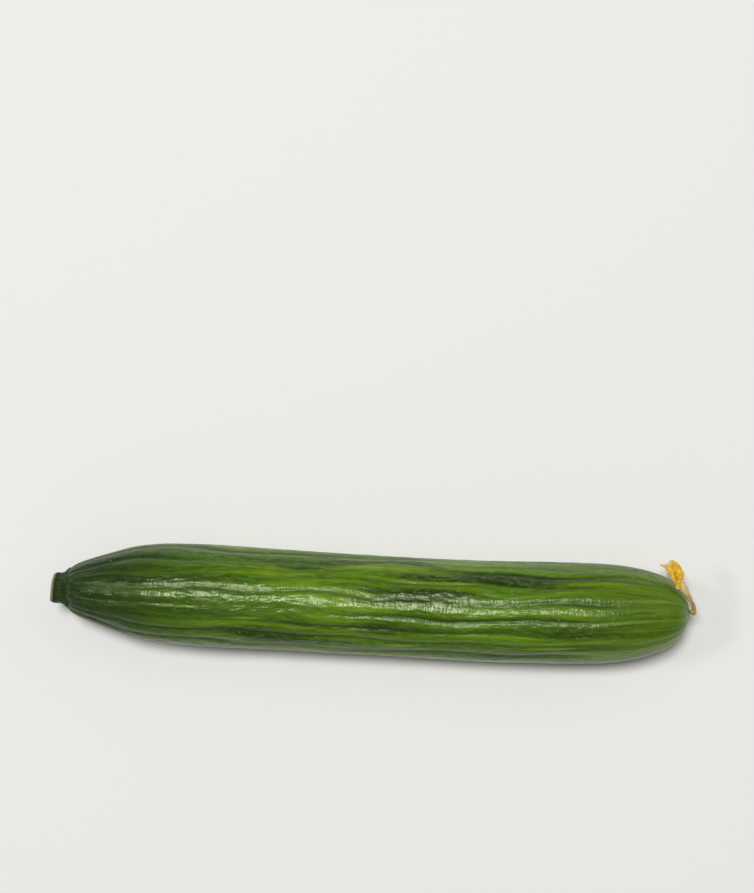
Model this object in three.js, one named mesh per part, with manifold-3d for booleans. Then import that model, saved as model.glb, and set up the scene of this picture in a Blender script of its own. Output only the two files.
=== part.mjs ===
// A small smooth-skinned cucumber as it is picked, lying on its side: the fruit, the cut stub of
// its stalk at one end, and at the other end the withered flower that is still attached.
// Millimetres, +Z up. +X runs along the fruit from the stalk to the flower.
import * as THREE from 'three';
import { mergeVertices } from 'three/addons/utils/BufferGeometryUtils.js';
import Module from 'manifold-3d';

const wasm = await Module();
wasm.setup();

const TURN = 2 * Math.PI;

// The fruit's line: distances along it start at the cut face of the stub
const LENGTH = 181;
const SIDE_BOW = 1.75; // how far the middle swings towards -Y
const BOW_LATENESS = 1.75; // above 1 the bow is deepest past the middle
const END_LIFT = 1.5; // how far both ends stand above the middle

// Half thickness of the fruit on its ribs, at distances along it: neck face, neck, belly, blossom end
const GAP = 0.3; // between pieces that meet
const STUB_LENGTH = 3.3;
const NECK_FACE = STUB_LENGTH + GAP;
const OUTLINE = [
  [NECK_FACE, 0],
  [NECK_FACE, 4.8],
  [4.5, 6.1],
  [7.6, 7.9],
  [13, 9.8],
  [18.7, 11.8],
  [25, 13.5],
  [41, 14.7],
  [64, 14.35],
  [110, 14.3],
  [134, 14.5],
  [155, 14.2],
  [164, 13.2],
  [170.5, 11.5],
  [174.8, 9.6],
  [177.5, 7.4],
  [178.9, 5],
  [179.6, 3.2],
  [180, 1.6],
  [180.1, 0],
];
const BELLY = 14.3;
const LOBE_SHARE = 0.012; // the three seed chambers push the section out by this share

// The spot that the fruit rests on
const REST_CUT = 0.42; // how much of the belly the flat spot takes off
const REST_FADE = 1; // furrows run out over this height above the surface

// Lengthwise ribs with narrow furrows between them, which wander as they go
const RIB_COUNT = 19;
const POINTS_PER_RIB = 6;
const FURROW_DEPTH = 0.45;
const FURROW_SHARPNESS = 0.5;
const FURROW_SHARE = 0.75; // of the depth, in the narrow furrow; the rest rounds the rib
const FULL_DEPTH_RADIUS = 8; // on thinner stretches the furrows are shallower in proportion
const TIP_FADE = [150, 174]; // towards the blossom end they fade over these distances
const TIP_DEPTH = 0.35; // to this share of their depth

// Waves over the skin, each with its size, waves per turn round the fruit, length of a wave along
// the fruit, and start. WANDER is in radians, DEPTH_WAVES in shares of the furrow depth
const WANDER = [
  [0.06, 3, Infinity, 1.1],
  [0.045, 5, Infinity, 2],
  [0.03, 2, 90, 0],
  [0.03, 5, 34, 0],
];
const DEPTH_MEAN = 0.62;
const DEPTH_WAVES = [
  [0.22, 2, 232, 0.7],
  [0.3, 7, 120, 2.1],
];

// Grid of the fruit: crowded towards both ends
const FRUIT_RINGS = 40;
const END_CROWDING = 0.55;

// Stub of the stalk
const STUB_GRID = [30, 14]; // points round it and along it
const STUB_RADIUS = 4.3;
const STUB_CORNERS = 5;
const STUB_CORNER_SHARE = 0.06;
const STUB_SLANT = 0.07; // the knife's slant across the cut face

// Withered flower, measured from the fruit's line at the blossom end: along, sideways, upwards
const TUBE_LINE = [
  [180.7, 0, 0],
  [181.15, 0.6, 0.45],
  [181.1, 1.75, 1.4],
  [180.3, 3.1, 3],
  [179.1, 4.9, 4.6],
  [177.9, 6.8, 5.3],
  [177, 8.1, 5.3],
];
const TUBE_FACING = [0.4, 0, 1];
const TUBE_GRID = [14, 22];
const TUBE_RADIUS = 0.52;
const TUBE_WIDENING = 0.16; // from the scar to the throat
const TUBE_FLATNESS = 0.85;
const SCAR_RADIUS = 0.8; // where the tube grips the blossom scar
const PETAL_GRID = [12, 10];
const PETAL_HALF_THICKNESS = 0.36;
const PETAL_CUP = 0.3; // how far the edges curl up, as a share of the half width
const PETAL_WAVE = 0.14;
const THROAT = [176.6, 9.05, 5.45];
const THROAT_RADIUS = 0.72;
const PETALS = [
  {
    // broad petal that curls over like a hood
    line: [
      [176.6, 9, 5.5],
      [176.55, 10.2, 5.8],
      [176.1, 11.8, 5.9],
      [175.3, 13.2, 5.5],
      [174.3, 13.9, 4.8],
      [173.5, 13.6, 4],
    ],
    halfWidth: 1.15,
    facing: [0.45, 0.05, 0.9],
  },
  {
    // narrow strap with its tip bent away
    line: [
      [176.4, 9, 5.5],
      [175, 9.2, 6.1],
      [174.05, 10.6, 6],
      [173.4, 12.1, 5.5],
      [172.5, 13.1, 4.9],
      [170.9, 13.4, 4.3],
    ],
    halfWidth: 0.85,
    facing: [-0.35, -0.1, 0.95],
  },
  {
    // short petal folded back over the throat
    line: [[176.5, 9, 5.6], [176.1, 8.3, 6.4], [175.7, 7.6, 6.9], [175.5, 6.9, 7.2]],
    halfWidth: 0.8,
    facing: [0, 0.5, 0.85],
  },
  {
    // petal folded under the hood
    line: [[176.7, 9.1, 5.2], [176.6, 10.5, 4.6], [175.9, 11.8, 4], [174.8, 12.6, 3.4]],
    halfWidth: 0.9,
    facing: [0.6, 0.2, -0.75],
  },
  {
    // petal rolled up between the others
    line: [[176.4, 9.1, 5.4], [175.6, 10.4, 5.2], [174.9, 11.7, 5], [174.4, 12.6, 4.9]],
    halfWidth: 0.7,
    facing: [-0.5, 0.7, 0.4],
  },
];

function smoothstep(low, high, value) {
  return THREE.MathUtils.smoothstep(value, low, high);
}

// The middle of the fruit at a distance along it
function fruitLine(distance) {
  const share = Math.max(0, distance / LENGTH);
  const side = -SIDE_BOW * Math.sin(Math.PI * share ** BOW_LATENESS);
  const lift = END_LIFT * (2 * share - 1) ** 2;
  const restHeight = BELLY * (1 - LOBE_SHARE) - REST_CUT;
  return new THREE.Vector3(distance, side, restHeight + lift);
}

// A closed body from a sphere's grid: place gives each grid point its position from its turn
// round the body and its way along it, both 0 to 1
function shapedBody(around, along, place) {
  const geometry = new THREE.SphereGeometry(1, around, along);
  const { position, uv } = geometry.attributes;
  for (let i = 0; i < position.count; i++) {
    const point = place(uv.getX(i), uv.getY(i));
    position.setXYZ(i, point.x, point.y, point.z);
  }
  geometry.deleteAttribute('normal');
  geometry.deleteAttribute('uv');
  const merged = mergeVertices(geometry);
  merged.computeVertexNormals();
  return merged;
}

function sumOfWaves(waves, angle, distance) {
  return waves.reduce(
    (sum, [size, perTurn, length, start]) =>
      sum + size * Math.sin(perTurn * angle + (TURN * distance) / length + start),
    0,
  );
}

// Angle round the fruit after the ribs' wandering is taken out: a rib keeps one value all along
function ribAngle(angle, distance) {
  return angle + sumOfWaves(WANDER, angle, distance);
}

// The angle round the fruit at which ribAngle has the wanted value
function angleOfRib(wanted, distance) {
  let angle = wanted;
  for (let step = 0; step < 24; step++) angle += wanted - ribAngle(angle, distance);
  return angle;
}

// How far the skin lies below the tops of the ribs
function furrow(angle, distance, radius) {
  const phase = RIB_COUNT * ribAngle(angle, distance);
  const valley = Math.exp(-((Math.sin(phase / 2) / FURROW_SHARPNESS) ** 2));
  const rounding = (1 + Math.cos(phase)) / 2;
  const section = FURROW_SHARE * valley + (1 - FURROW_SHARE) * rounding;
  const strength = DEPTH_MEAN + sumOfWaves(DEPTH_WAVES, angle, distance);
  const fade = 1 - (1 - TIP_DEPTH) * smoothstep(...TIP_FADE, distance);
  return FURROW_DEPTH * strength * fade * Math.min(1, radius / FULL_DEPTH_RADIUS) * section;
}

function fruitBody() {
  const points = OUTLINE.map(([distance, radius]) => new THREE.Vector3(distance, radius, 0));
  const outline = new THREE.CatmullRomCurve3(points, false, 'centripetal');
  const around = RIB_COUNT * POINTS_PER_RIB;
  return shapedBody(around, FRUIT_RINGS, (turn, way) => {
    const crowded = way - (END_CROWDING * Math.sin(TURN * way)) / TURN;
    const { x, y: radius } = outline.getPointAt(crowded);
    const distance = Math.max(x, NECK_FACE);
    const angle = angleOfRib(TURN * turn, distance);
    const outward = new THREE.Vector3(0, Math.cos(angle), Math.sin(angle));
    const lobes = 1 - LOBE_SHARE * Math.cos(3 * (angle + Math.PI / 2));
    const line = fruitLine(distance);
    const ridgeHeight = line.z + radius * lobes * outward.z;
    const depth = furrow(angle, distance, radius) * smoothstep(0, REST_FADE, ridgeHeight);
    const point = line.addScaledVector(outward, Math.max(0, radius * lobes - depth));
    point.z = Math.max(0, point.z);
    return point;
  });
}

// The stub is a short five-cornered post that widens towards the neck
function stubBody() {
  const points = [
    [0.2, 0],
    [0, STUB_RADIUS * 0.7],
    [0.1, STUB_RADIUS * 0.93],
    [0.6, STUB_RADIUS],
    [1.8, STUB_RADIUS],
    [STUB_LENGTH - 0.4, STUB_RADIUS * 1.13],
    [STUB_LENGTH, STUB_RADIUS * 1.1],
    [STUB_LENGTH, 0],
  ].map(([distance, radius]) => new THREE.Vector3(distance, radius, 0));
  const outline = new THREE.CatmullRomCurve3(points, false, 'centripetal');
  return shapedBody(...STUB_GRID, (turn, way) => {
    const { x, y: radius } = outline.getPointAt(way);
    const distance = THREE.MathUtils.clamp(x, 0, STUB_LENGTH);
    const angle = TURN * turn;
    const corners = 1 + STUB_CORNER_SHARE * Math.cos(STUB_CORNERS * angle + 0.6);
    const sideways = radius * corners * Math.cos(angle);
    const upwards = radius * corners * Math.sin(angle);
    const slant = STUB_SLANT * (STUB_RADIUS + sideways) * (1 - distance / STUB_LENGTH);
    const line = fruitLine(distance);
    return new THREE.Vector3(distance + slant, line.y + sideways, line.z + upwards);
  });
}

// Points given from the fruit's line at the blossom end
function atBlossomEnd([along, sideways, upwards]) {
  const line = fruitLine(LENGTH);
  return new THREE.Vector3(along, line.y + sideways, line.z + upwards);
}

// A limb along a line of points. section gives, from turn and way, how far its skin stands to the
// side of the line and how far towards its face
function limbBody(line, facing, grid, section) {
  const curve = new THREE.CatmullRomCurve3(line.map(atBlossomEnd), false, 'centripetal');
  const face = new THREE.Vector3(...facing).normalize();
  return shapedBody(...grid, (turn, way) => {
    const tangent = curve.getTangentAt(way);
    const side = new THREE.Vector3().crossVectors(face, tangent).normalize();
    const up = new THREE.Vector3().crossVectors(tangent, side);
    const [sideways, outwards] = section(turn, way);
    return curve.getPointAt(way).addScaledVector(side, sideways).addScaledVector(up, outwards);
  });
}

// Rounded ends: the limb's size from 0 at an end to 1 over a short way
function ended(way, reach) {
  const inside = Math.min(way, 1 - way) / reach;
  return inside >= 1 ? 1 : Math.sqrt(1 - (1 - inside) ** 2);
}

// The tube grips the scar with a wider foot, and has five soft pleats that turn round it
function tubeBody() {
  return limbBody(TUBE_LINE, TUBE_FACING, TUBE_GRID, (turn, way) => {
    const foot = (SCAR_RADIUS - TUBE_RADIUS) * (1 - smoothstep(0.05, 0.3, way));
    const pleats = 1 + 0.08 * Math.cos(5 * TURN * turn + 4 * way);
    const radius = (TUBE_RADIUS + foot + TUBE_WIDENING * way) * pleats * ended(way, 0.05);
    return [radius * Math.cos(TURN * turn), TUBE_FLATNESS * radius * Math.sin(TURN * turn)];
  });
}

// A petal is a thick blade, widest past its middle, cupped and waved along its edges
function petalBody({ line, halfWidth, facing }, index) {
  return limbBody(line, facing, PETAL_GRID, (turn, way) => {
    const swell = 0.6 + 0.4 * Math.sin(Math.PI * way ** 0.8);
    const share = swell * ended(way, 0.22) * Math.cos(TURN * turn);
    const sine = Math.sin(TURN * turn);
    const skin = PETAL_HALF_THICKNESS * ended(way, 0.1) * Math.sign(sine) * Math.sqrt(Math.abs(sine));
    const cup = PETAL_CUP * halfWidth * share ** 2;
    const wave = PETAL_WAVE * share * Math.sin(9 * way + 2 * index);
    return [halfWidth * share, skin + cup + wave];
  });
}

function toManifold(geometry) {
  const vertProperties = new Float32Array(geometry.attributes.position.array);
  const triVerts = new Uint32Array(geometry.index.array);
  return new wasm.Manifold(new wasm.Mesh({ numProp: 3, vertProperties, triVerts }));
}

function fromManifold(solid) {
  const { vertProperties, triVerts } = solid.getMesh();
  const geometry = new THREE.BufferGeometry();
  geometry.setAttribute('position', new THREE.BufferAttribute(vertProperties, 3));
  geometry.setIndex(new THREE.BufferAttribute(triVerts, 1));
  geometry.computeVertexNormals();
  return geometry;
}

// The five petals joined at the throat
function petalsBody() {
  const throat = new THREE.SphereGeometry(THROAT_RADIUS, 14, 10);
  const centre = atBlossomEnd(THROAT);
  throat.translate(centre.x, centre.y, centre.z);
  throat.deleteAttribute('normal');
  throat.deleteAttribute('uv');
  const joined = PETALS.map(petalBody).reduce(
    (solid, petal) => solid.add(toManifold(petal)),
    toManifold(mergeVertices(throat)),
  );
  return fromManifold(joined);
}

function piece(name, geometry, colour, roughness) {
  const material = new THREE.MeshStandardMaterial({ color: colour, roughness, metalness: 0 });
  const mesh = new THREE.Mesh(geometry, material);
  mesh.name = name;
  return mesh;
}

const cucumber = new THREE.Group();
cucumber.add(
  piece('fruit', fruitBody(), 0x2e5a12, 0.38),
  piece('stem_stub', stubBody(), 0x3d5c35, 0.6),
  piece('flower_tube', tubeBody(), 0xa88e46, 0.8),
  piece('petals', petalsBody(), 0xd09c2c, 0.7),
);

// The origin is at the middle of the base of the whole part
const box = new THREE.Box3().setFromObject(cucumber);
const middle = box.getCenter(new THREE.Vector3());
cucumber.position.set(-middle.x, -middle.y, -box.min.z);

export default cucumber;
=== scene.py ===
# %% [markdown]
# # A small cucumber, picked and laid on its side
#
# The cucumber has four pieces: the fruit, the cut stub of its stalk, and at the blossom end the
# withered flower, which is a thin dry tube that carries five crumpled petals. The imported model
# gives their places and sizes as rough solids. Those could be smoothed and coloured as they are,
# but their facets would show close by. So each piece is modelled again here with a fine surface
# and a material of its own, and the solid that it stands for is hidden.

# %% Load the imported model
import math

import bpy
import numpy as np
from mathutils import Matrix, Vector, noise


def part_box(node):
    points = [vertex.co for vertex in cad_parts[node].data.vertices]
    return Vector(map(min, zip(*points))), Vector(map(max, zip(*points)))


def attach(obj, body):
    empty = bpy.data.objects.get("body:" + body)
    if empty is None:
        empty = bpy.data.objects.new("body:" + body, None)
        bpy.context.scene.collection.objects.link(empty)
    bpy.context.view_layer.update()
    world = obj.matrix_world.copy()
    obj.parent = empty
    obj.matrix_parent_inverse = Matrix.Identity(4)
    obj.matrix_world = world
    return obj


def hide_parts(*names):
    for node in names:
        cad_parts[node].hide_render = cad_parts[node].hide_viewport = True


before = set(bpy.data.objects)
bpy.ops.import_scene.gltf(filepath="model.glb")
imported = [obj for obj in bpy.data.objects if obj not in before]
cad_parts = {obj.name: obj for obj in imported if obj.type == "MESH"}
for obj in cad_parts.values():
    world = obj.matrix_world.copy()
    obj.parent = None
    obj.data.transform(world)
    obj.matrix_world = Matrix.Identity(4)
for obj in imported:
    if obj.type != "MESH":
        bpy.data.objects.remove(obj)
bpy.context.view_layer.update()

MM = 0.001

for name in sorted(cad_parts):
    low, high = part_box(name)
    print(name, "size in mm:", [round(side / MM, 1) for side in high - low])

# %% [markdown]
# ## Sizes
#
# All sizes are in millimetres and are turned to Blender's metres at the end. Distances along the
# fruit start at the cut face of the stub. The outline is half the fruit's thickness on top of its
# ribs, the line is the middle of the fruit, and the waves make the ribs wander and come and go.
# They are the numbers that shaped the solids, because the two have to lie in the same place.

# %% Sizes of the fruit
TURN = 2 * math.pi

# The bend of the middle line, the three-lobed section and the flat spot under the belly
LENGTH = 181
SIDE_BOW = 1.75
BOW_LATENESS = 1.75
END_LIFT = 1.5
BELLY = 14.3
LOBE_COUNT = 3
LOBE_SHARE = 0.012
REST_CUT = 0.42
REST_FADE = 1.0

# The place of the neck's face, and half the thickness along the fruit
NECK_FACE = 3.6
OUTLINE = [
    (NECK_FACE, 0),
    (NECK_FACE, 4.8),
    (4.5, 6.1),
    (7.6, 7.9),
    (13, 9.8),
    (18.7, 11.8),
    (25, 13.5),
    (41, 14.7),
    (64, 14.35),
    (110, 14.3),
    (134, 14.5),
    (155, 14.2),
    (164, 13.2),
    (170.5, 11.5),
    (174.8, 9.6),
    (177.5, 7.4),
    (178.9, 5),
    (179.6, 3.2),
    (180, 1.6),
    (180.1, 0),
]

# The ribs and the furrows between them, which are shallower where the fruit is slim and at its tip
RIB_COUNT = 19
FURROW_DEPTH = 0.45
FURROW_SHARPNESS = 0.5
FURROW_SHARE = 0.75
FULL_DEPTH_RADIUS = 8
TIP_FADE = (150, 174)
TIP_DEPTH = 0.35

# Each wave has a size, a count round the fruit, a length along it and a start angle
WANDER = [(0.06, 3, math.inf, 1.1), (0.045, 5, math.inf, 2.0), (0.03, 2, 90, 0), (0.03, 5, 34, 0)]
DEPTH_MEAN = 0.62
DEPTH_WAVES = [(0.22, 2, 232, 0.7), (0.3, 7, 120, 2.1)]

# %% [markdown]
# ## Helpers for modelling
#
# A smooth line runs through a few given points, so an outline needs only the points that its
# shape asks for. A turned body is the first stage of every round piece: a small disc is added,
# its rim is extruded from station to station and scaled to the outline, the last rim is merged
# to a point, and a Subdivision Surface rounds the whole. A Screw or a Spin would turn the
# outline just as well, but would leave seams and doubled poles to be closed afterwards.


# %% Smooth line through points
STEPS_BETWEEN_POINTS = 40
SMALLEST_GAP = 1e-6


def smooth_line(points, count, crowding=0.0):
    """count points on a smooth line through the given ones. crowding draws them to both ends."""
    points = np.array(points, float)
    first, last = 2 * points[0] - points[1], 2 * points[-1] - points[-2]
    knots = np.vstack([first, points, last])
    dense = []
    for a, b, c, d in zip(knots, knots[1:], knots[2:], knots[3:]):
        # A Catmull-Rom curve from b to c, timed by the roots of the gaps so that it can't loop
        gaps = [max(math.dist(p, q), SMALLEST_GAP) for p, q in ((a, b), (b, c), (c, d))]
        steps = [math.sqrt(gap) for gap in gaps]
        t0, t1, t2, t3 = 0, steps[0], steps[0] + steps[1], sum(steps)
        t = np.linspace(t1, t2, STEPS_BETWEEN_POINTS, endpoint=False)[:, None]
        ab = ((t1 - t) * a + (t - t0) * b) / (t1 - t0)
        bc = ((t2 - t) * b + (t - t1) * c) / (t2 - t1)
        cd = ((t3 - t) * c + (t - t2) * d) / (t3 - t2)
        abc = ((t2 - t) * ab + (t - t0) * bc) / (t2 - t0)
        bcd = ((t3 - t) * bc + (t - t1) * cd) / (t3 - t1)
        dense.append(((t2 - t) * abc + (t - t1) * bcd) / (t2 - t1))
    dense = np.vstack([*dense, points[-1:]])
    lengths = np.linalg.norm(np.diff(dense, axis=0), axis=1)
    reached = np.concatenate([[0], np.cumsum(lengths)])
    share = np.linspace(0, 1, count)
    share = share - crowding * np.sin(TURN * share) / TURN
    return np.column_stack([np.interp(share * reached[-1], reached, axis) for axis in dense.T])


# %% Selecting, editing and modifiers
def select_only(piece):
    bpy.ops.object.select_all(action="DESELECT")
    piece.select_set(True)
    bpy.context.view_layer.objects.active = piece


def start_editing(piece):
    """Opens one piece, and no other, in edit mode."""
    select_only(piece)
    bpy.ops.object.mode_set(mode="EDIT")


def apply_modifier(piece, kind, **settings):
    """Adds a modifier to a piece and applies it at once."""
    bpy.ops.object.mode_set(mode="OBJECT")
    select_only(piece)
    modifier = piece.modifiers.new(kind.title(), kind)
    for name, value in settings.items():
        setattr(modifier, name, value)
    bpy.ops.object.modifier_apply(modifier=modifier.name)


# %% Fixed order of a mesh's faces
def settle_face_order(piece):
    """Stores the faces in a fixed order, because extruding stores them in another one each run."""
    bpy.ops.object.mode_set(mode="OBJECT")
    mesh = piece.data
    points = [point.co.copy() for point in mesh.vertices]
    faces = [list(face.vertices) for face in mesh.polygons]
    starts = [face.index(min(face)) for face in faces]
    faces = sorted(face[start:] + face[:start] for face, start in zip(faces, starts))
    mesh.clear_geometry()
    mesh.from_pydata(points, [], faces)


# %% Turned body
def turned_body(name, outline, sides, levels):
    """A closed body along X whose half thickness follows the outline, in millimetres."""
    (start, radius), *rest = outline[1:-1]
    bpy.ops.object.select_all(action="DESELECT")
    bpy.ops.mesh.primitive_circle_add(
        vertices=sides,
        radius=radius,
        fill_type="TRIFAN",
        location=(0, 0, 0),
        rotation=(0, math.pi / 2, 0),
    )
    piece = bpy.context.active_object
    bpy.ops.object.transform_apply(location=True, rotation=True, scale=True)
    piece.name = piece.data.name = name
    start_editing(piece)
    bpy.ops.mesh.select_all(action="SELECT")
    bpy.ops.transform.translate(value=(start, 0, 0))
    bpy.ops.mesh.region_to_loop()
    at, size = start, radius
    for distance, radius in rest:
        bpy.ops.mesh.extrude_edges_move(TRANSFORM_OT_translate={"value": (distance - at, 0, 0)})
        share = radius / size
        bpy.ops.transform.resize(value=(1, share, share), center_override=(distance, 0, 0))
        at, size = distance, radius
    bpy.ops.mesh.extrude_edges_move(TRANSFORM_OT_translate={"value": (outline[-1][0] - at, 0, 0)})
    bpy.ops.mesh.merge(type="CENTER")
    bpy.ops.mesh.select_all(action="SELECT")
    bpy.ops.mesh.normals_make_consistent(inside=False)
    settle_face_order(piece)
    apply_modifier(piece, "SUBSURF", levels=levels, render_levels=levels)
    return piece


# %% Points of a mesh, and values kept with them
def get_points(piece):
    """The piece's points, each a row of three numbers."""
    points = np.empty(len(piece.data.vertices) * 3)
    piece.data.vertices.foreach_get("co", points)
    return points.reshape(-1, 3)


def set_points(piece, points):
    piece.data.vertices.foreach_set("co", np.asarray(points, float).ravel())
    piece.data.update()


def keep_values(piece, name, values):
    """Keeps a number or a vector for each vertex, which the materials read."""
    kind, field = ("FLOAT", "value") if values.ndim == 1 else ("FLOAT_VECTOR", "vector")
    attribute = piece.data.attributes.new(name, kind, "POINT")
    attribute.data.foreach_set(field, values.astype(np.float32).ravel())


# %% [markdown]
# ## The fruit
#
# A cucumber grows as one piece, so it is one mesh. A bevelled curve or a sculpted cylinder could
# give its outline, but not ribs that wander, fade and join along it. So it starts as a turned
# body of 36 sides, fine enough after three subdivisions to hold the ribs and the small puckers of
# the rind, and its points are then moved by the formula that raises the ribs on the solid. Finer
# puckers are added, which the photograph shows as pebbled glints along the ribs.

# %% Fineness of the mesh, and sizes of its small relief
FRUIT_SIDES = 36
FRUIT_STATIONS = 43
FRUIT_LEVELS = 3
END_CROWDING = 0.5

# The size of each kind of bump is its length along the fruit and its width round it
FINE_WANDER = 0.018
FINE_WANDER_SIZE = (9, 6)
PUCKER_HEIGHT = 0.07
PUCKER_LOSS_IN_FURROW = 0.6
PUCKER_SIZE = (2.6, 1.0)
WRINKLE_HEIGHT = 0.06
WRINKLE_SIZE = (7.0, 1.6)
SWELL_HEIGHT = 0.2
SWELL_SIZE = (30, 11)
SEED_SHIFT = 50


# %% The fruit's middle line, and waves over its rind
def fruit_line(distance):
    """The middle of the fruit at a distance along it, as sideways and upwards."""
    share = np.clip(distance / LENGTH, 0, None)
    side = -SIDE_BOW * np.sin(math.pi * share**BOW_LATENESS)
    lift = END_LIFT * (2 * share - 1) ** 2
    return side, BELLY * (1 - LOBE_SHARE) - REST_CUT + lift


def sum_of_waves(waves, angle, distance):
    total = 0
    for size, count, length, start in waves:
        total = total + size * np.sin(count * angle + TURN * distance / length + start)
    return total


def rib_angle(angle, distance):
    """The angle round the fruit, counted so that it stays the same along a wandering rib."""
    return angle + sum_of_waves(WANDER, angle, distance)


# %% Furrows and bumps of the rind
def smoothstep(low, high, value):
    """0 up to low, 1 from high on, and a soft step between them."""
    share = np.clip((value - low) / (high - low), 0, 1)
    return share * share * (3 - 2 * share)


def bumps(distance, angle, size, seed):
    """Soft noise over the rind, -1 to 1, with bumps of the given length along and width round it."""
    along, round_it = size
    places = np.column_stack([
        distance / along,
        BELLY * np.cos(angle) / round_it,
        BELLY * np.sin(angle) / round_it + SEED_SHIFT * seed,
    ])
    return np.array([noise.noise(Vector(place)) for place in places])


def furrow_shares(angle, distance, radius):
    """Each place's share of the furrows' full depth, and how near it is to a furrow's middle."""
    fine_wander = FINE_WANDER * bumps(distance, angle, FINE_WANDER_SIZE, 1)
    phase = RIB_COUNT * (rib_angle(angle, distance) + fine_wander)
    valley = np.exp(-((np.sin(phase / 2) / FURROW_SHARPNESS) ** 2))
    rounding = (1 + np.cos(phase)) / 2
    section = FURROW_SHARE * valley + (1 - FURROW_SHARE) * rounding
    strength = DEPTH_MEAN + sum_of_waves(DEPTH_WAVES, angle, distance)
    strength = strength * (1 - (1 - TIP_DEPTH) * smoothstep(*TIP_FADE, distance))
    return strength * np.minimum(1, radius / FULL_DEPTH_RADIUS) * section, rounding


# %% Turn the fruit and raise its ribs
fruit = turned_body(
    "cucumber_fruit", smooth_line(OUTLINE, FRUIT_STATIONS, END_CROWDING), FRUIT_SIDES, FRUIT_LEVELS
)
straight = get_points(fruit)
distance = straight[:, 0]
radius = np.hypot(straight[:, 1], straight[:, 2])
angle = np.arctan2(straight[:, 2], straight[:, 1])

lobes = 1 - LOBE_SHARE * np.cos(LOBE_COUNT * (angle + math.pi / 2))
side, height = fruit_line(distance)
depth, in_furrow = furrow_shares(angle, distance, radius)
free_of_rest = smoothstep(0, REST_FADE, height + radius * lobes * np.sin(angle))
taper = np.minimum(1, radius / FULL_DEPTH_RADIUS)
puckers = PUCKER_HEIGHT * bumps(distance, angle, PUCKER_SIZE, 2)
puckers = puckers * (1 - PUCKER_LOSS_IN_FURROW * in_furrow)
wrinkles = WRINKLE_HEIGHT * bumps(distance, angle, WRINKLE_SIZE, 3)
swells = SWELL_HEIGHT * bumps(distance, angle, SWELL_SIZE, 4)
relief = (-FURROW_DEPTH * depth + taper * (puckers + wrinkles + swells)) * free_of_rest
skin = radius * lobes + relief

shaped = np.column_stack([distance, side + skin * np.cos(angle), height + skin * np.sin(angle)])
shaped[:, 2] = np.maximum(shaped[:, 2], 0)
print("furrows to", round(float(depth.max()) * FURROW_DEPTH, 2), "mm deep")

# %% Lay the fruit over its solid, and keep what its material reads
cad_low, cad_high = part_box("fruit")
TO_FRAME = np.array([
    cad_low.x / MM - NECK_FACE,
    (cad_low.y + cad_high.y) / 2 / MM - (shaped[:, 1].min() + shaped[:, 1].max()) / 2,
    0,
])
print("fruit coordinates to the frame, mm:", np.round(TO_FRAME, 3))
set_points(fruit, (shaped + TO_FRAME) * MM)
straight_angle = rib_angle(angle, distance)
keep_values(
    fruit,
    "rind_place",
    np.column_stack([distance, BELLY * np.cos(straight_angle), BELLY * np.sin(straight_angle)]),
)
keep_values(fruit, "furrow", depth)
bpy.ops.object.shade_smooth()
print("fruit faces:", len(fruit.data.polygons))

# %% [markdown]
# ## The stub of the stalk
#
# The stalk was cut with a knife a few millimetres from the neck. The stub is a short green post
# with five blunt corners and a flat pale face, and it widens where it grows into the fruit. It
# could be pulled out of the neck's own faces, but the knife's sharp rim would then need loops all
# down the fruit. So it is a cylinder of its own. Loops are cut round it at a few stations, its rim
# is bevelled, its cut face is inset for the soft middle and the ring of sap vessels, and its
# points are then moved to widen it, to give it five corners and to sink its soft middle.

# %% Sizes of the stub
STUB_RADIUS = 4.3
STUB_FROM, STUB_TO = 0.1, 4.8
STUB_SIDES = 40
STUB_BEVEL = 0.15
FACING_THE_KNIFE = 0.99
CUT_INSETS = (0.55, 0.5, 1.2, 0.9)
CUT_EDGE = (0.12, 0.24)

# Each station has its place along the fruit and how much wider the stub is there
STUB_STATIONS = [(0.9, 1.0), (1.8, 0.98), (2.7, 1.04), (3.3, 1.13), (3.8, 1.24), (4.4, 1.33)]

# Sizes that are shares count in the stub's radius, and turns are start angles
CORNER_COUNT, CORNER_SHARE, CORNER_TURN = 5, 0.06, 0.6
FLUTE_COUNT, FLUTE_SHARE, FLUTE_TURN = 15, 0.012, 1.3
FLUTES_FROM_SHARE = 0.97
STUB_SLANT = 0.07
VESSEL_COUNT = 10
VESSEL_MEAN, VESSEL_WAVE = 0.6, 0.4
VESSEL_PLACE, VESSEL_WIDTH, VESSEL_RISE = 0.62, 0.1, 0.12
PITH_WIDTH, PITH_SINK = 0.35, 0.28
OFF_THE_CUT = 2.0
SHARPEST_SMOOTH_EDGE = math.radians(50)


# %% Model the stub
def select_cut_face(piece):
    """Selects the flat of the cut end, without its bevelled rim, in edit mode."""
    bpy.ops.object.mode_set(mode="OBJECT")
    for face in piece.data.polygons:
        face.select = face.normal.x < -FACING_THE_KNIFE
    start_editing(piece)


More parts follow.
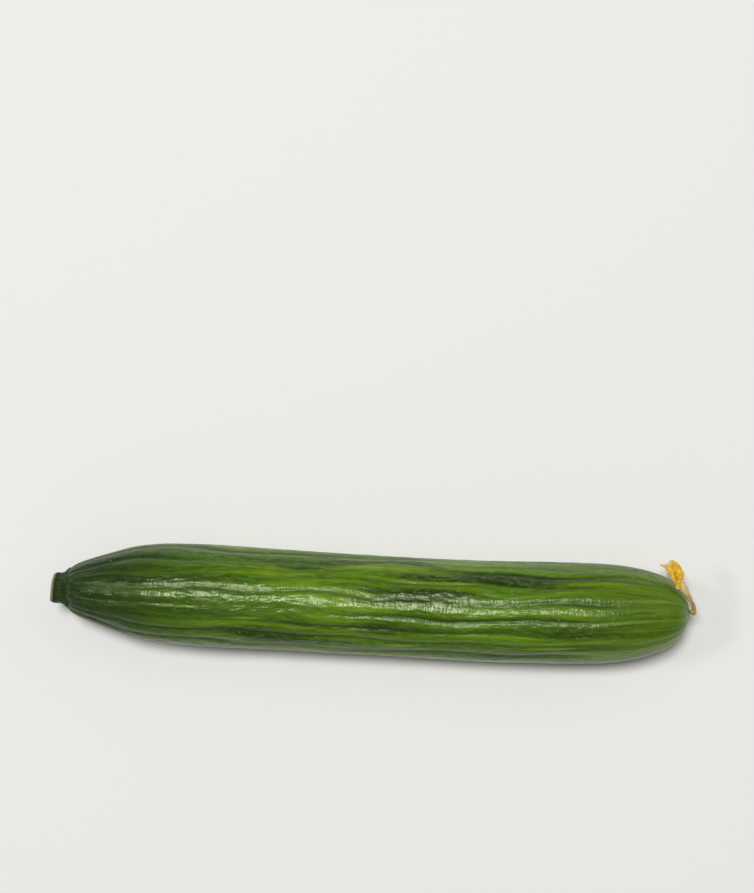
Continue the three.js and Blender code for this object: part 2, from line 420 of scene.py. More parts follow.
def make_stub():
    """The stub as a plain post along X, with its bevelled rim and its inset cut face."""
    bpy.ops.object.select_all(action="DESELECT")
    bpy.ops.mesh.primitive_cylinder_add(
        vertices=STUB_SIDES,
        radius=STUB_RADIUS,
        depth=STUB_TO - STUB_FROM,
        location=((STUB_FROM + STUB_TO) / 2, 0, 0),
        rotation=(0, math.pi / 2, 0),
    )
    piece = bpy.context.active_object
    bpy.ops.object.transform_apply(location=True, rotation=True, scale=True)
    piece.name = piece.data.name = "cucumber_stalk_stub"
    start_editing(piece)
    for distance, _ in STUB_STATIONS:
        bpy.ops.mesh.select_all(action="SELECT")
        bpy.ops.mesh.bisect(plane_co=(distance, 0, 0), plane_no=(1, 0, 0))
    select_cut_face(piece)
    bpy.ops.mesh.bevel(offset=STUB_BEVEL, segments=2, affect="EDGES")
    select_cut_face(piece)
    for depth in CUT_INSETS:
        bpy.ops.mesh.inset(thickness=depth)
    bpy.ops.mesh.poke()
    apply_modifier(piece, "SUBSURF", levels=2, render_levels=2)
    return piece


stub = make_stub()
print("stub faces:", len(stub.data.polygons))

# %% Give the stub its corners, its flare and its cut face
points = get_points(stub)
along, reach = points[:, 0], np.hypot(points[:, 1], points[:, 2])
turn = np.arctan2(points[:, 2], points[:, 1])
share = reach / STUB_RADIUS
stations, widths = zip(*STUB_STATIONS)
widening = np.interp(along, stations, widths)
corners = 1 + CORNER_SHARE * np.cos(CORNER_COUNT * turn + CORNER_TURN) * np.minimum(1, share) ** 2
fluted = share > FLUTES_FROM_SHARE
flutes = 1 + FLUTE_SHARE * np.cos(FLUTE_COUNT * turn + FLUTE_TURN) * fluted
cut = 1 - smoothstep(*CUT_EDGE, along)
on_cut = cut > 0.5
vessels = VESSEL_MEAN + VESSEL_WAVE * np.cos(VESSEL_COUNT * turn)
vessel_ring = vessels * np.exp(-(((share - VESSEL_PLACE) / VESSEL_WIDTH) ** 2))
dish = cut * (PITH_SINK * np.exp(-((share / PITH_WIDTH) ** 2)) - VESSEL_RISE * vessel_ring)
size = reach * widening * corners * flutes
slant = STUB_SLANT * (STUB_RADIUS + size * np.cos(turn)) * np.clip(1 - along / NECK_FACE, 0, 1)
side, height = fruit_line(along)
laid = np.column_stack([
    along + slant + dish,
    side + size * np.cos(turn),
    height + size * np.sin(turn),
])
keep_values(stub, "cut_share", np.where(on_cut, share, OFF_THE_CUT))
keep_values(stub, "vessel_ring", vessel_ring)
keep_values(stub, "stub_place", np.column_stack([along, reach * np.cos(turn), reach * np.sin(turn)]))
set_points(stub, (laid + TO_FRAME) * MM)
bpy.ops.object.shade_smooth_by_angle(angle=SHARPEST_SMOOTH_EDGE)
print("stub across at its cut face, mm:", round(2 * float(size[on_cut].max()), 1))

# %% [markdown]
# ## The tube of the withered flower
#
# The flower's narrow base has dried to a thin, slightly flattened, pleated tube that grips the
# blossom scar and bends up the fruit's shoulder. A curve with a round bevel would be too even for
# it. So it starts as a turned body with the real tube's swellings, and its points are pleated and
# then laid along the bent line.

# %% Sizes of the tube
# Places along the fruit, and sideways and upwards from its middle line at the blossom end
TUBE_LINE = [
    (180.7, 0, 0),
    (181.15, 0.6, 0.45),
    (181.1, 1.75, 1.4),
    (180.3, 3.1, 3),
    (179.1, 4.9, 4.6),
    (177.9, 6.8, 5.3),
    (177, 8.1, 5.3),
    (176.6, 8.8, 5.45),
]

# Half the thickness along the tube
TUBE_OUTLINE = [
    (0, 0),
    (0, 0.7),
    (0.25, 1.1),
    (0.6, 0.95),
    (1.3, 0.66),
    (3.5, 0.56),
    (6, 0.64),
    (8.2, 0.8),
    (9.6, 1.0),
    (10.9, 0.7),
    (10.9, 0),
]
TUBE_STATIONS, TUBE_SIDES, TUBE_LEVELS = 34, 20, 2
TUBE_LENGTH = TUBE_OUTLINE[-1][0]
TUBE_FACING = (0.4, 0, 1)
TUBE_FLATNESS = 0.8

# Each pleat has a size, a count round the tube and a twist along it
TUBE_PLEATS = [(0.16, 5, 0.35), (0.05, 11, -0.9)]
CRIMP_SHARE, CRIMP_ALONG, CRIMP_ROUND = 0.06, 2.4, 2


# %% Lay points along a line
LINE_STEPS = 400


def laid_along(line, facing, share, sideways, outwards):
    """Places given by their share of a line's length and their offsets from it, in millimetres."""
    fine = smooth_line(line, LINE_STEPS)
    tangent = np.gradient(fine, axis=0)
    tangent /= np.linalg.norm(tangent, axis=1)[:, None]
    side_way = np.cross(np.array(facing, float), tangent)
    side_way /= np.linalg.norm(side_way, axis=1)[:, None]
    face_way = np.cross(tangent, side_way)
    index = np.clip(share, 0, 1) * (len(fine) - 1)
    at = np.arange(len(fine))

    def sample(values):
        return np.column_stack([np.interp(index, at, column) for column in values.T])

    return sample(fine) + sample(side_way) * sideways[:, None] + sample(face_way) * outwards[:, None]


def from_blossom_end(points):
    """Moves points whose sides and heights count from the fruit's middle line at the blossom end."""
    side, height = fruit_line(LENGTH)
    return points + np.array([0, side, height])


# %% Make the tube
tube = turned_body("withered_tube", smooth_line(TUBE_OUTLINE, TUBE_STATIONS), TUBE_SIDES, TUBE_LEVELS)
points = get_points(tube)
along, reach = points[:, 0], np.hypot(points[:, 1], points[:, 2])
turn = np.arctan2(points[:, 2], points[:, 1])
pleats = 1 + sum(size * np.cos(count * turn + twist * along) for size, count, twist in TUBE_PLEATS)
crimps = 1 + CRIMP_SHARE * np.sin(CRIMP_ALONG * along + CRIMP_ROUND * turn)
reach = reach * pleats * crimps
sideways, outwards = reach * np.cos(turn), TUBE_FLATNESS * reach * np.sin(turn)
placed = laid_along(TUBE_LINE, TUBE_FACING, along / TUBE_LENGTH, sideways, outwards)
set_points(tube, (from_blossom_end(placed) + TO_FRAME) * MM)
keep_values(tube, "dry_place", np.column_stack([along, np.cos(turn), np.sin(turn)]))
keep_values(tube, "dry_share", np.column_stack([along / TUBE_LENGTH, 0 * along, 0 * along]))
bpy.ops.object.shade_smooth()
print("tube faces:", len(tube.data.polygons))

# %% [markdown]
# ## The crumpled petals
#
# A cucumber flower has five petals, joined at the throat. Here they are dry, folded to one side
# and stuck together: a broad one curls over like a hood, a narrow one ends in a bent tip, and
# three short ones are tucked round them. A cloth simulation could crumple them, but its folds
# can't be placed, and these have to lie as the photograph shows. So each petal starts as a grid.
# Its points are laid along its own line, narrowed to a tip, cupped, pleated along its veins and
# crumpled at its edges, and a Solidify gives it the thickness of a dry petal.

# %% Sizes of the petals
PETAL_THICKNESS = 0.2
PETAL_GRID = (18, 44)

# The width, as shares of the petal's half width and of its length
PETAL_ROOT_SHARE = 0.35
PETAL_TIP_SHARE = 0.25
PETAL_TIP_PLACE = 1.02
PETAL_TIP_BLUNTNESS = 0.6
PETAL_WIDEST_POWER = 0.8
PETAL_FULLNESS = 0.8

# The folds, in millimetres where they are depths
PETAL_PLEAT_COUNT = 3
PETAL_PLEAT = 0.16
PLEAT_LOSS_AT_TIP = 0.5
PETAL_FRILL = 0.35
PETAL_CRUMPLE = 0.24
CRUMPLES_ACROSS = 1.6
PETAL_SLIP = 0.02
CUP_POWER = 1.8
CUP_NARROWING = 0.25
FOLDS_LEFT_AT_TIP = 0.2

# How far apart the petals, and the kinds of crumple, read the noise and the colours
PETAL_SHIFT = 9
KIND_SHIFT = 31
PATTERN_SHIFT = 3.7

# The lines are given as the tube's line is
PETALS = [
    {
        "line": [
            (176.5, 8.7, 5.5),
            (176.6, 10.3, 5.8),
            (176.2, 11.9, 5.9),
            (175.4, 13.5, 5.5),
            (174.2, 14.2, 5),
            (172.7, 13.5, 4.9),
        ],
        "half_width": 1.42,
        "facing": (0.45, 0.05, 0.9),
        "cup": -0.45,
    },
    {
        "line": [
            (176, 8.3, 5.5),
            (174.9, 9.2, 6.1),
            (174, 10.7, 6),
            (173.3, 12.1, 5.5),
            (172.2, 13.1, 4.9),
            (170.7, 13.6, 4.3),
        ],
        "half_width": 1.0,
        "facing": (-0.35, -0.1, 0.95),
        "cup": -0.5,
    },
    {
        "line": [(176.5, 9, 5.6), (176.1, 8.3, 6.4), (175.7, 7.6, 6.9), (175.5, 6.9, 7.2)],
        "half_width": 0.95,
        "facing": (0, 0.5, 0.85),
        "cup": -0.6,
    },
    {
        "line": [(176.7, 9.1, 5.2), (176.6, 10.5, 4.6), (175.9, 11.8, 4), (174.8, 12.6, 3.4)],
        "half_width": 1.0,
        "facing": (0.6, 0.2, -0.75),
        "cup": 0.6,
    },
    {
        "line": [(176.4, 9.1, 5.2), (175.7, 10.4, 4.5), (174.9, 12, 4.2), (173.9, 13.5, 4.1)],
        "half_width": 1.1,
        "facing": (-0.5, 0.7, 0.4),
        "cup": 0.9,
    },
]


# %% Make one petal
def make_petal(number, line, half_width, facing, cup):
    """A petal along its line that faces a given way. A cup below 0 bends its edges the other way."""
    bpy.ops.object.select_all(action="DESELECT")
    bpy.ops.mesh.primitive_grid_add(
        x_subdivisions=PETAL_GRID[0], y_subdivisions=PETAL_GRID[1], size=2, location=(0, 0, 0)
    )
    piece = bpy.context.active_object
    piece.name = piece.data.name = f"withered_petal_{number}"
    flat = get_points(piece)
    edge, share = flat[:, 0], np.clip((flat[:, 1] + 1) / 2, 0, 1)
    length = sum(math.dist(start, end) for start, end in zip(line, line[1:]))

    bulge = np.sin(math.pi * share**PETAL_WIDEST_POWER) ** PETAL_FULLNESS
    swell = PETAL_ROOT_SHARE + (1 - PETAL_ROOT_SHARE) * bulge
    tip = np.clip((PETAL_TIP_PLACE - share) / PETAL_TIP_SHARE, 0, 1) ** PETAL_TIP_BLUNTNESS
    width = half_width * swell * tip

    shift = np.full_like(edge, PETAL_SHIFT * number)
    places = np.column_stack([CRUMPLES_ACROSS * edge, share * length, shift])
    crumple, frill, slip = np.array([
        [noise.noise(Vector(place + (0, 0, KIND_SHIFT * kind))) for place in places]
        for kind in range(3)
    ])
    pleat = PETAL_PLEAT * np.cos(PETAL_PLEAT_COUNT * math.pi * edge + number)
    pleat = pleat * (1 - PLEAT_LOSS_AT_TIP * share)
    curl = cup * half_width * np.abs(edge) ** CUP_POWER
    sideways = width * edge * (1 - CUP_NARROWING * abs(cup) * edge**2) + PETAL_CRUMPLE * crumple
    outwards = (pleat + curl) * np.minimum(1, width / half_width + FOLDS_LEFT_AT_TIP)
    outwards = outwards + PETAL_FRILL * frill * edge**2 + PETAL_CRUMPLE * crumple
    placed = laid_along(line, facing, share + PETAL_SLIP * slip, sideways, outwards)
    set_points(piece, (from_blossom_end(placed) + TO_FRAME) * MM)

    apart = np.full_like(edge, PATTERN_SHIFT * number)
    keep_values(piece, "dry_place", np.column_stack([share * length, edge * half_width, apart]))
    keep_values(piece, "dry_share", np.column_stack([share, np.abs(edge), 0 * edge]))
    apply_modifier(piece, "SOLIDIFY", thickness=PETAL_THICKNESS * MM, offset=0)
    apply_modifier(piece, "SUBSURF", levels=1, render_levels=1)
    return piece


# %% Make the five petals and join them
petals = [make_petal(number, **petal) for number, petal in enumerate(PETALS)]
bpy.ops.object.select_all(action="DESELECT")
for piece in petals:
    piece.select_set(True)
bpy.context.view_layer.objects.active = petals[0]
bpy.ops.object.join()
flower = petals[0]
flower.name = flower.data.name = "withered_petals"
bpy.ops.object.shade_smooth()
print("petal faces:", len(flower.data.polygons))

# %% [markdown]
# ## Colours and nodes
#
# Colours are written as the screen's hex values and turned to Blender's linear ones by one
# function. A second one adds a node with its settings and its links. A third lays colours one
# over another, which is how each finish of the cucumber is built up. Every layer names what it
# reads, where on that the colour starts and where it is full, its share there, and the colour. A
# fourth makes the soft patches that most layers read, stretched to a real length and width. A
# painted picture would need a map of each piece, and could not be changed by a number.


# %% Colours
def linear(hex_colour):
    """An sRGB hex colour as Blender's linear red, green, blue and alpha."""
    parts = [int(hex_colour[i : i + 2], 16) / 255 for i in (1, 3, 5)]
    return [c / 12.92 if c <= 0.04045 else ((c + 0.055) / 1.055) ** 2.4 for c in parts] + [1]


# %% Nodes and layers of colour
def add(tree, kind, links=None, **settings):
    """Adds a node. links gives a socket a value or another node's output."""
    made = tree.nodes.new("ShaderNode" + kind)
    for name, value in settings.items():
        setattr(made, name, value)
    for socket, value in (links or {}).items():
        if isinstance(value, bpy.types.NodeSocket):
            tree.links.new(value, made.inputs[socket])
        else:
            made.inputs[socket].default_value = value
    return made


# Numbers of the Mix node's sockets for colours
MIX_FACTOR, MIX_A, MIX_B, MIX_RESULT = 0, 6, 7, 2


def paint(tree, base, layers):
    """Lays colours over a base colour. A layer is a value, its start and full, a share and a colour."""
    colour = linear(base)
    for value, start, full, share, shade in layers:
        mask = add(
            tree,
            "MapRange",
            {"Value": value, "From Min": start, "From Max": full, "To Max": share},
            interpolation_type="SMOOTHSTEP",
        )
        mix = add(
            tree,
            "Mix",
            {MIX_FACTOR: mask.outputs[0], MIX_A: colour, MIX_B: linear(shade)},
            data_type="RGBA",
        )
        colour = mix.outputs[MIX_RESULT]
    return colour


def patches(tree, place, length, width, look, start=0):
    """Soft patches, each of a length along a piece and a width across it, in millimetres."""
    across = 1 / width
    scale = (1 / length, across, across)
    scaled = add(tree, "Mapping", {"Vector": place, "Location": (start, 0, 0), "Scale": scale})
    return add(tree, "TexNoise", {"Vector": scaled.outputs[0], **look}).outputs["Fac"]


def new_material(name):
    """A new material, its node tree and its main shader."""
    material = bpy.data.materials.new(name)
    material.use_nodes = True
    tree = material.node_tree
    return material, tree, tree.nodes["Principled BSDF"]


# %% [markdown]
# ## Waxy cucumber rind
#
# The rind is living skin under a thin natural wax. It is smooth and satin, dark green with long
# bands and streaks of olive and yellow-green that keep to the ribs. Painted shade darkens the
# furrows.
# The neck is a bluer green under a dull bloom of wax. The blossom end is lime green, with fine
# pale lines that run together at the corky scar. A painted picture would stretch over the rounded
# ends, so the pattern reads the place on the unrolled rind instead, in millimetres: its streaks
# follow the ribs and close up where the fruit narrows. Pebbled cells about half a millimetre
# across break every glint into grains, as they do in the photograph.

# %% Colours and patterns of the rind
RIND_DARK = "#1d3604"
# The furrow green is painted shade, laid into the furrows by their depth
FURROW_SHADE_GREEN = "#142a03"
NECK_GREEN = "#162b10"
TIP_GREEN = "#56740c"
TIP_LINE_GREEN = "#92a83e"
WAX_BLOOM = "#5a8042"
PORE_PALE = "#a3b47a"
CORK_TAN = "#94834f"
WAX_GLINT = "#f6ffd8"

# Each streak fades in between the two values of its noise, up to its share
RIND_STREAKS = [
    {"length": 70, "width": 6.0, "shows": (0.34, 0.58), "share": 1, "colour": "#446806"},
    {"length": 48, "width": 3.8, "shows": (0.5, 0.72), "share": 0.7, "colour": "#2a4a10"},
    {"length": 44, "width": 3.3, "shows": (0.42, 0.66), "share": 0.95, "colour": "#628708"},
    {"length": 24, "width": 1.3, "shows": (0.58, 0.8), "share": 0.9, "colour": "#86a030"},
    {"length": 2.6, "width": 1.0, "shows": (0.42, 0.7), "share": 0.22, "colour": "#7d9a4c"},
    {"length": 4.5, "width": 0.7, "shows": (0.5, 0.72), "share": 0.3, "colour": "#1a3306"},
]
STREAK_SHIFT = 7.3
STREAK_NOISE = {"Scale": 1, "Detail": 1.7, "Roughness": 0.45, "Distortion": 0.4}

# Length and width of the lines, so long that they meet at the scar, and of the clouds of wax
TIP_LINES = (83, 1.2)
WAX_CLOUDS = (20, 4.5)
CLOUD_NOISE = {"Scale": 1, "Detail": 4, "Roughness": 0.6}
PORE_SPACING = 3.1

# Where along the fruit a colour starts and where it is full, in millimetres
NECK_CHANGE = (52, 8)
TIP_CHANGE = (138, 176)
SCAR_CHANGE = (179.7, 179.92)

# Share of the pale lines and of the wax along the fruit, and which clouds count as wax
TIP_LINE_RANGE = {"From Min": 148, "From Max": 178, "To Max": 0.42}
WAX_RANGE = {"From Min": 44, "From Max": 4, "To Min": 0.22, "To Max": 0.35}
CLOUD_RANGE = {"From Min": 0.4, "From Max": 0.72}

# The relief in millimetres: long puckers, short cross wrinkles, and pebbled cells
RIND_RELIEF = [
    {"length": 4, "width": 1.4, "height": 0.28},
    {"length": 0.77, "width": 2.2, "height": 0.08},
    {"length": 0.53, "width": 0.67, "height": 0.06},
]
RELIEF_NOISE = {"Scale": 1, "Detail": 1.5}

# Satin on the bare ribs, duller under a bloom of wax and in the furrows
RIB_ROUGHNESS_RANGE = {"To Min": 0.27, "To Max": 0.53}
FURROW_ROUGHNESS = 0.42
WAX_IOR = 1.45
RIND_SPECULAR = 0.48


# %% Streaks of the rind
def rind_streaks(tree, place):
    """The streaks as layers to paint."""
    layers = []
    for number, streak in enumerate(RIND_STREAKS):
        size = streak["length"], streak["width"]
        lines = patches(tree, place, *size, STREAK_NOISE, STREAK_SHIFT * number)
        layers.append((lines, *streak["shows"], streak["share"], streak["colour"]))
    return layers


# %% Relief of the rind
def rind_relief(tree, place):
    """The direction of the surface with its small relief."""
    normal = None
    for relief in RIND_RELIEF:
        bumpy = patches(tree, place, relief["length"], relief["width"], RELIEF_NOISE)
        bump = add(tree, "Bump", {"Distance": relief["height"] * MM, "Height": bumpy})
        if normal:
            tree.links.new(normal, bump.inputs["Normal"])
        normal = bump.outputs["Normal"]
    return normal


# %% Rind material
def rind_material():
    material, tree, shader = new_material("waxy_cucumber_rind")
    place = add(tree, "Attribute", attribute_name="rind_place").outputs["Vector"]
    furrow = add(tree, "Attribute", attribute_name="furrow").outputs["Fac"]
    along = add(tree, "SeparateXYZ", {"Vector": place}).outputs["X"]
    tip_lines = patches(tree, place, *TIP_LINES, CLOUD_NOISE)
    wax = patches(tree, place, *WAX_CLOUDS, CLOUD_NOISE)
    pores = add(tree, "TexVoronoi", {"Vector": place, "Scale": 1 / PORE_SPACING}).outputs["Distance"]

    # The lines grow stronger towards the tip, and the wax towards the neck
    tip_share = add(tree, "MapRange", {"Value": along, **TIP_LINE_RANGE}).outputs[0]
    wax_share = add(tree, "MapRange", {"Value": along, **WAX_RANGE}).outputs[0]
    bloom_range = {"Value": wax, **CLOUD_RANGE, "To Max": wax_share}
    bloom = add(tree, "MapRange", bloom_range).outputs[0]

    layers = rind_streaks(tree, place) + [
        # Painted shade: the furrows are darkened by their depth, as shade would darken them
        (furrow, 0.1, 0.95, 0.68, FURROW_SHADE_GREEN),
        (along, *NECK_CHANGE, 0.92, NECK_GREEN),
        (along, *TIP_CHANGE, 0.6, TIP_GREEN),
        (tip_lines, 0.5, 0.66, tip_share, TIP_LINE_GREEN),
        (bloom, 0, 1, 1, WAX_BLOOM),
        (pores, 0.075, 0.045, 0.6, PORE_PALE),
        (along, *SCAR_CHANGE, 0.85, CORK_TAN),
    ]
    tree.links.new(paint(tree, RIND_DARK, layers), shader.inputs["Base Color"])
    tree.links.new(rind_relief(tree, place), shader.inputs["Normal"])

    on_ribs = add(tree, "MapRange", {"Value": bloom, **RIB_ROUGHNESS_RANGE}).outputs[0]
    roughness_range = {"Value": furrow, "To Min": on_ribs, "To Max": FURROW_ROUGHNESS}
    roughness = add(tree, "MapRange", roughness_range).outputs[0]
    tree.links.new(roughness, shader.inputs["Roughness"])
    shader.inputs["IOR"].default_value = WAX_IOR
    shader.inputs["Specular IOR Level"].default_value = RIND_SPECULAR
    shader.inputs["Specular Tint"].default_value = linear(WAX_GLINT)
    return material


fruit.data.materials.append(rind_material())
print("rind finish:", fruit.active_material.name)

# %% [markdown]
# ## Cut green stalk
#
# The stalk is a dull green with fine raised fibres along it. It is almost black just behind the
# cut and takes the neck's colour where it widens. The cut face has dried a little: a pale spongy
# middle, a ring of ten greener sap vessels, and a browned rim. Its faces could have a second
# material, but one that reads how far out each point lies on the cut face gives soft rings.

# %% Colours and patterns of the stalk
STALK_GREEN = "#22380f"
STALK_FIBRE = "#46611f"
STALK_BASE = "#1b3510"
STALK_TIP = "#121f0f"
CUT_PITH = "#c3cfa6"
CUT_FLESH = "#9fb583"
CUT_VESSEL = "#5d7a45"
CUT_RIM = "#736c3f"

# Length and width of the patches, and heights of the relief, in millimetres
STALK_FIBRES = (4, 0.38)
STALK_BLOTCHES = (0.67, 0.67)
STALK_PORES = (0.17, 0.17)
STALK_NOISE = {"Scale": 1, "Detail": 3}
FIBRE_HEIGHT = 0.4
PORE_HEIGHT = 0.1

# The side begins where cut_share has left the rim, which is at 1
SIDE_RANGE = {"From Min": 1.02, "From Max": 1.2}
STALK_ROUGHNESS_RANGE = {"To Min": 0.4, "To Max": 0.65}
STALK_SPECULAR = 0.35


# %% Stalk material
def stalk_material():
    material, tree, shader = new_material("cut_green_stalk")
    place = add(tree, "Attribute", attribute_name="stub_place").outputs["Vector"]
    cut_share = add(tree, "Attribute", attribute_name="cut_share").outputs["Fac"]
    vessels = add(tree, "Attribute", attribute_name="vessel_ring").outputs["Fac"]
    along = add(tree, "SeparateXYZ", {"Vector": place}).outputs["X"]
    sizes = (STALK_FIBRES, STALK_BLOTCHES, STALK_PORES)
    fibres, blotches, pores = [patches(tree, place, *size, STALK_NOISE) for size in sizes]

    side = [
        (fibres, 0.48, 0.7, 0.8, STALK_FIBRE),
        (along, 1.6, 3.1, 1, STALK_BASE),
        (along, 2.0, 0.5, 0.8, STALK_TIP),
    ]
    cut_face = [
        (cut_share, 0.25, 0.5, 1, CUT_FLESH),
        (vessels, 0.25, 0.8, 0.9, CUT_VESSEL),
        (pores, 0.55, 0.7, 0.35, CUT_VESSEL),
        (cut_share, 0.88, 0.98, 0.9, CUT_RIM),
        (blotches, 0.58, 0.75, 0.5, CUT_RIM),
    ]
    on_side = add(tree, "MapRange", {"Value": cut_share, **SIDE_RANGE}).outputs[0]
    face_colour = paint(tree, CUT_PITH, cut_face)
    side_colour = paint(tree, STALK_GREEN, side)
    whole = add(
        tree,
        "Mix",
        {MIX_FACTOR: on_side, MIX_A: face_colour, MIX_B: side_colour},
        data_type="RGBA",
    )
    tree.links.new(whole.outputs[MIX_RESULT], shader.inputs["Base Color"])

    raised = add(tree, "Bump", {"Distance": FIBRE_HEIGHT * MM, "Height": fibres}).outputs["Normal"]
    pitted = add(tree, "Bump", {"Distance": PORE_HEIGHT * MM, "Height": pores, "Normal": raised})
    tree.links.new(pitted.outputs["Normal"], shader.inputs["Normal"])
    roughness = add(tree, "MapRange", {"Value": blotches, **STALK_ROUGHNESS_RANGE}).outputs[0]
    tree.links.new(roughness, shader.inputs["Roughness"])
    shader.inputs["IOR"].default_value = WAX_IOR
    shader.inputs["Specular IOR Level"].default_value = STALK_SPECULAR
    shader.inputs["Specular Tint"].default_value = linear(WAX_GLINT)
    return material


stub.data.materials.append(stalk_material())
print("stalk finish:", stub.active_material.name)

# %% [markdown]
# ## Dry flower tube and dry petals
#
# The tube has dried to tan straw, with fine fibres along it and browner pleats. Painted shade
# darkens it to a brown ring where it grips the fruit. The petals are still deep yellow. Their
# veins are darker, their folds and edges have turned brown, their tips have bleached, and light
# comes a little through them. Both are thin, matt plant skin and differ only in their patterns,
# so one function makes the two. A patch has its length along the piece and its width across it,
# in millimetres. An end is painted by the share of the way along the piece, X, or out to its
# edge, Y.

# %% Patterns of the tube and the petals
TUBE_TAN = "#c79f58"
TUBE_STRAW = "#e8d199"
TUBE_BROWN = "#7d6029"
PETAL_YELLOW = "#e6b01a"
PETAL_LIGHT = "#fadb56"
PETAL_VEIN = "#b8871c"
PETAL_BROWN = "#8f6420"
PETAL_TIP = "#f3dfa6"

TUBE_FINISH = {
    "base": TUBE_TAN,
    "patches": [
        {"length": 2.9, "width": 0.31, "shows": (0.48, 0.66), "share": 0.9, "colour": TUBE_STRAW},
        {"length": 2.0, "width": 0.45, "shows": (0.54, 0.72), "share": 0.8, "colour": TUBE_BROWN},
        {"length": 0.33, "width": 0.67, "shows": (0.6, 0.75), "share": 0.6, "colour": TUBE_BROWN},
    ],
    "ends": [
        ("X", 0.6, 0.8, 0.6, TUBE_STRAW),
        # Painted shade: a brown ring at the tube's foot, where it grips the fruit
        ("X", 0.1, 0.014, 0.85, TUBE_BROWN),
    ],
    "roughness": 0.75,
    "scatter": 0,
}
PETAL_FINISH = {
    "base": PETAL_YELLOW,
    "patches": [
        {"length": 2.2, "width": 0.95, "shows": (0.45, 0.65), "share": 0.9, "colour": PETAL_LIGHT},
        {"length": 5.0, "width": 0.14, "shows": (0.55, 0.7), "share": 0.7, "colour": PETAL_VEIN},
        {"length": 0.8, "width": 0.6, "shows": (0.6, 0.76), "share": 0.6, "colour": PETAL_BROWN},
    ],
    "ends": [
        ("Y", 0.9, 1.05, 0.6, PETAL_BROWN),
        ("X", 0.74, 0.96, 0.65, PETAL_TIP),
        ("X", 0.16, 0, 0.7, TUBE_STRAW),
    ],
    "roughness": 0.6,
    "scatter": 0.25,
}
CREASE_HEIGHT = 0.2
SCATTER_DEPTH = 0.6
SCATTER_COLOURS = (1.0, 0.8, 0.3)
DRY_SKIN_IOR = 1.5


# %% Tube and petal materials
def dry_material(name, finish):
    """A dry plant skin: its base colour, patches, ends, roughness and scatter."""
    material, tree, shader = new_material(name)
    place = add(tree, "Attribute", attribute_name="dry_place").outputs["Vector"]
    shares = add(tree, "Attribute", attribute_name="dry_share").outputs["Vector"]
    axes = add(tree, "SeparateXYZ", {"Vector": shares}).outputs
    layers = []
    normal = None
    for patch in finish["patches"]:
        lines = patches(tree, place, patch["length"], patch["width"], CLOUD_NOISE)
        layers.append((lines, *patch["shows"], patch["share"], patch["colour"]))
        bump = add(tree, "Bump", {"Distance": CREASE_HEIGHT * MM, "Height": lines})
        if normal:
            tree.links.new(normal, bump.inputs["Normal"])
        normal = bump.outputs["Normal"]
    tree.links.new(normal, shader.inputs["Normal"])
    layers += [(axes[axis], *rest) for axis, *rest in finish["ends"]]
    tree.links.new(paint(tree, finish["base"], layers), shader.inputs["Base Color"])
    shader.inputs["Roughness"].default_value = finish["roughness"]
    shader.inputs["IOR"].default_value = DRY_SKIN_IOR
    shader.inputs["Subsurface Weight"].default_value = finish["scatter"]
    shader.inputs["Subsurface Scale"].default_value = SCATTER_DEPTH * MM
    shader.inputs["Subsurface Radius"].default_value = SCATTER_COLOURS
    return material


tube.data.materials.append(dry_material("dried_tube_skin", TUBE_FINISH))
flower.data.materials.append(dry_material("dried_petal_skin", PETAL_FINISH))
print("dry finishes:", tube.active_material.name, flower.active_material.name)

# %% [markdown]
# ## The camera
#
# The photograph looks straight down from about 65 cm. The fruit lies across the picture, below
# its middle, and is turned by a little over two degrees. The camera could be moved by hand until
# the two pictures match, but it is placed from those pixels and from the size of one pixel on the
# fruit, so that its place can be checked.

# %% Make the camera
PIXEL = 0.2835
PHOTO_SIZE = (754, 893)
FRUIT_MIDDLE_PIXEL = (373, 600.5)
PHOTO_TURN = math.radians(2.24)
CAMERA_DISTANCE = 650
SENSOR = 36

camera_data = bpy.data.cameras.new("camera")
camera_data.sensor_width = SENSOR
camera_data.lens = SENSOR * CAMERA_DISTANCE / (max(PHOTO_SIZE) * PIXEL)
camera = bpy.data.objects.new("camera", camera_data)
bpy.context.scene.collection.objects.link(camera)
bpy.context.scene.camera = camera

right = Vector((math.cos(PHOTO_TURN), math.sin(PHOTO_TURN), 0))
up = Vector((-math.sin(PHOTO_TURN), math.cos(PHOTO_TURN), 0))
across = PHOTO_SIZE[0] / 2 - FRUIT_MIDDLE_PIXEL[0]
above = FRUIT_MIDDLE_PIXEL[1] - PHOTO_SIZE[1] / 2
middle = Vector(TO_FRAME) + Vector((LENGTH / 2, 0, BELLY + CAMERA_DISTANCE))
camera.location = (middle + (right * across + up * above) * PIXEL) * MM
camera.rotation_euler = (0, 0, PHOTO_TURN)
print("camera at", [round(c, 3) for c in camera.location], "lens", round(camera_data.lens, 1))

# %% [markdown]
# ## Floor and light
#
# The cucumber lies on a plain pale floor. A window or a picture of a room could light it, but
# plain soft lights show its colours best: one overhead that draws the glints along the top of the
# ribs, a small one over the neck, a wide weak fill, and a little light from all round.

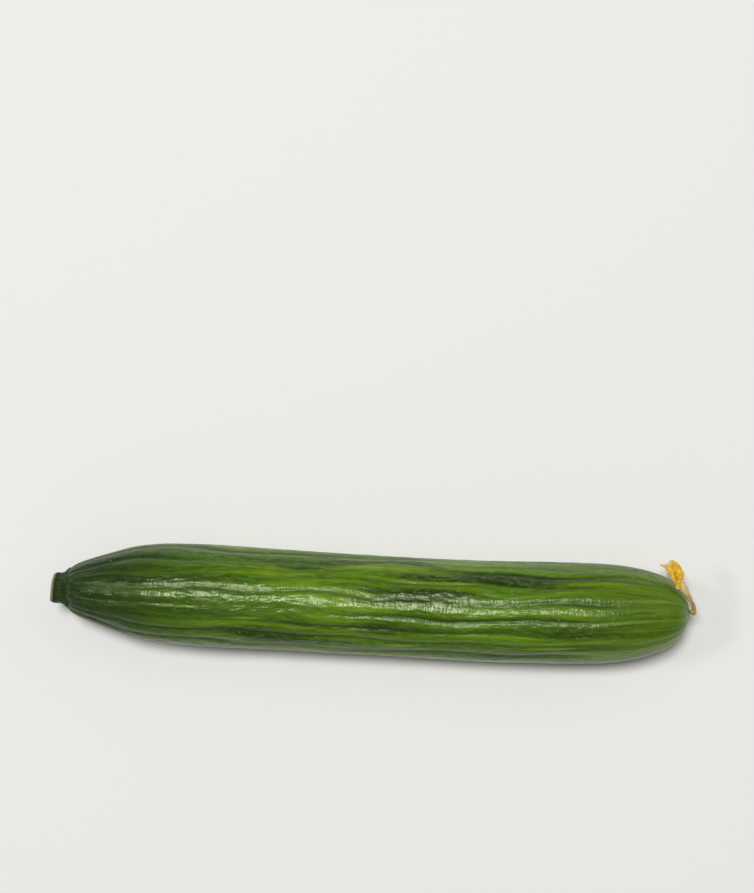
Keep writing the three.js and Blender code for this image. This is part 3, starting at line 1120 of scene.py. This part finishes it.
# %% Floor
FLOOR_COLOUR = "#efeeea"
FLOOR_ROUGHNESS = 0.8
FLOOR_SIZE = 12
BELOW_THE_FRUIT = 0.0001

bpy.ops.object.select_all(action="DESELECT")
bpy.ops.mesh.primitive_plane_add(size=FLOOR_SIZE, location=(0, 0, -BELOW_THE_FRUIT))
floor = bpy.context.active_object
floor.name = "floor"
floor_finish, _, floor_shader = new_material("pale_floor")
floor_shader.inputs["Base Color"].default_value = linear(FLOOR_COLOUR)
floor_shader.inputs["Roughness"].default_value = FLOOR_ROUGHNESS
floor.data.materials.append(floor_finish)
print("floor finish:", floor.active_material.name)

# %% Light
# Name, place and width in metres, and power in watts
LIGHTS = [
    ("key", (-0.22, 0.45, 2.2), 0.45, 34),
    ("fill", (1.6, 1.0, 1.8), 1.6, 5),
    ("neck_light", (-1.6, 0.3, 2.0), 0.4, 8),
]
SKY_STRENGTH = 0.165


def soft_light(name, location, size, power):
    """A square light that looks at the middle of the floor."""
    data = bpy.data.lights.new(name, "AREA")
    data.size = size
    data.energy = power
    light = bpy.data.objects.new(name, data)
    bpy.context.scene.collection.objects.link(light)
    light.location = location
    light.rotation_mode = "QUATERNION"
    light.rotation_quaternion = (-Vector(location)).to_track_quat("-Z", "Y")


for light in LIGHTS:
    soft_light(*light)
world = bpy.data.worlds.new("studio")
bpy.context.scene.world = world
world.use_nodes = True
sky = world.node_tree.nodes["Background"]
sky.inputs["Color"].default_value = (1, 1, 1, 1)
sky.inputs["Strength"].default_value = SKY_STRENGTH
bpy.context.scene.view_settings.view_transform = "Standard"
print("lights:", [light.name for light in bpy.data.lights])

# %% [markdown]
# ## The pieces and their solids
#
# Each piece is tied to the part's one body, and the solid that it stands for is hidden.

# %% Tie the pieces to the body and hide their solids
PIECES = [
    (fruit, "fruit", "rind"),
    (stub, "stem_stub", "stalk"),
    (tube, "flower_tube", "dry_tube"),
    (flower, "petals", "dry_petal"),
]
for piece, node, slot in PIECES:
    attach(piece, "root")
    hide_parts(node)
